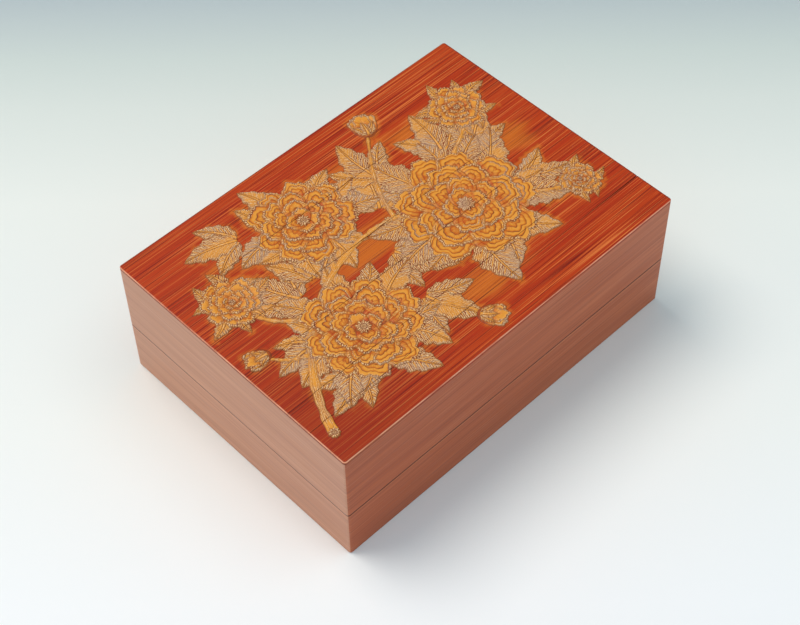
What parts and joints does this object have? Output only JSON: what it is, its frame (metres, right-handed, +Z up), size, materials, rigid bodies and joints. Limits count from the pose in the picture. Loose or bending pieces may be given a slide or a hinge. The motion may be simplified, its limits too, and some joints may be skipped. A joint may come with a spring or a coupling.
{
  "type": "bamboo box",
  "caption": "Rectangular bamboo-faced wooden box with a deep lift-off lid, carved strip top and an inner lip that guides the lid.",
  "frame": {"origin": "centre of the underside of the base, on the surface that the box stands on", "axes": "+X along the long side, +Y along the short side towards the back, +Z up"},
  "size_m": [0.22, 0.158, 0.0778],
  "materials": {
    "carved_bamboo": "red-brown bamboo with golden carved skin, satin polish",
    "plain_bamboo": "smooth red-brown bamboo, satin polish",
    "carcass_wood": "plain planed wood, oiled",
    "lip_wood": "fine dark wood, oiled"
  },
  "bodies": {
    "base": {"base_bottom_board": "carcass_wood", "base_front_wall": "carcass_wood", "base_back_wall": "carcass_wood", "base_left_wall": "carcass_wood", "base_right_wall": "carcass_wood", "base_front_facing": "plain_bamboo", "base_back_facing": "plain_bamboo", "base_left_facing": "plain_bamboo", "base_right_facing": "plain_bamboo", "base_front_lip": "lip_wood", "base_back_lip": "lip_wood", "base_left_lip": "lip_wood", "base_right_lip": "lip_wood"},
    "lid": {"lid_top_board": "carcass_wood", "lid_front_wall": "carcass_wood", "lid_back_wall": "carcass_wood", "lid_left_wall": "carcass_wood", "lid_right_wall": "carcass_wood", "lid_front_facing": "plain_bamboo", "lid_back_facing": "plain_bamboo", "lid_left_facing": "plain_bamboo", "lid_right_facing": "plain_bamboo", "top_strip_1": "carved_bamboo", "top_strip_2": "carved_bamboo", "top_strip_3": "carved_bamboo", "top_strip_4": "carved_bamboo", "top_strip_5": "carved_bamboo", "top_strip_6": "carved_bamboo"}
  },
  "joints": [
    {"name": "lid_lift", "type": "slide", "parent": "base", "child": "lid", "axis": [0, 0, 1], "range_m": [0, 0.1]}
  ]
}
